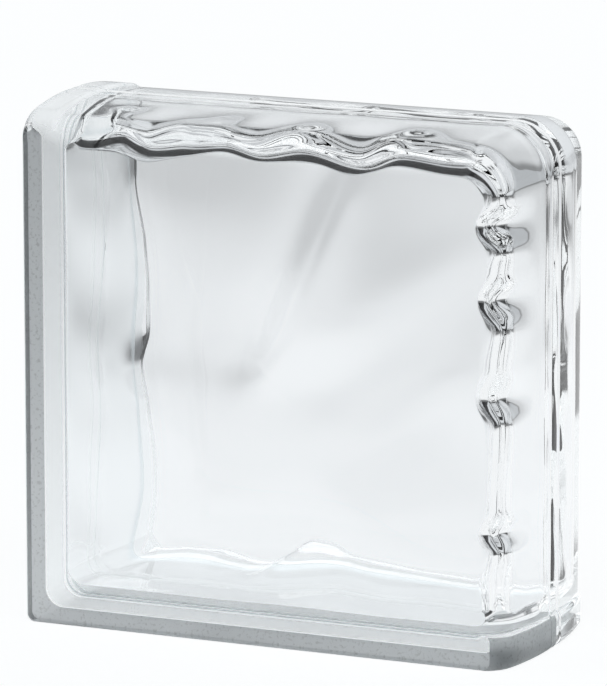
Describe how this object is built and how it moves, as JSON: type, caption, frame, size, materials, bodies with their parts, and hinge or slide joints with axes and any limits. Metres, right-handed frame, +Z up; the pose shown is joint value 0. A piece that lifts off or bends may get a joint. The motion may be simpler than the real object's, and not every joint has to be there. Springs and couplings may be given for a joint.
{
  "type": "hollow glass block, double end unit",
  "caption": "Square hollow glass block: two fused pressed halves with wavy inner faces, two finished rounded sides and a mortar channel on the other two.",
  "frame": {"origin": "middle of the footprint, on the plane that the bottom mortar lips stand on", "axes": "+X to the finished right side, +Y from the front face to the back face, +Z up to the finished top"},
  "size_m": [0.19, 0.08, 0.19],
  "materials": {
    "clear_glass": "fire-polished clear pressed glass with a faint cool tint"
  },
  "bodies": {
    "root": {"front_half": "clear_glass", "back_half": "clear_glass"}
  },
  "joints": []
}
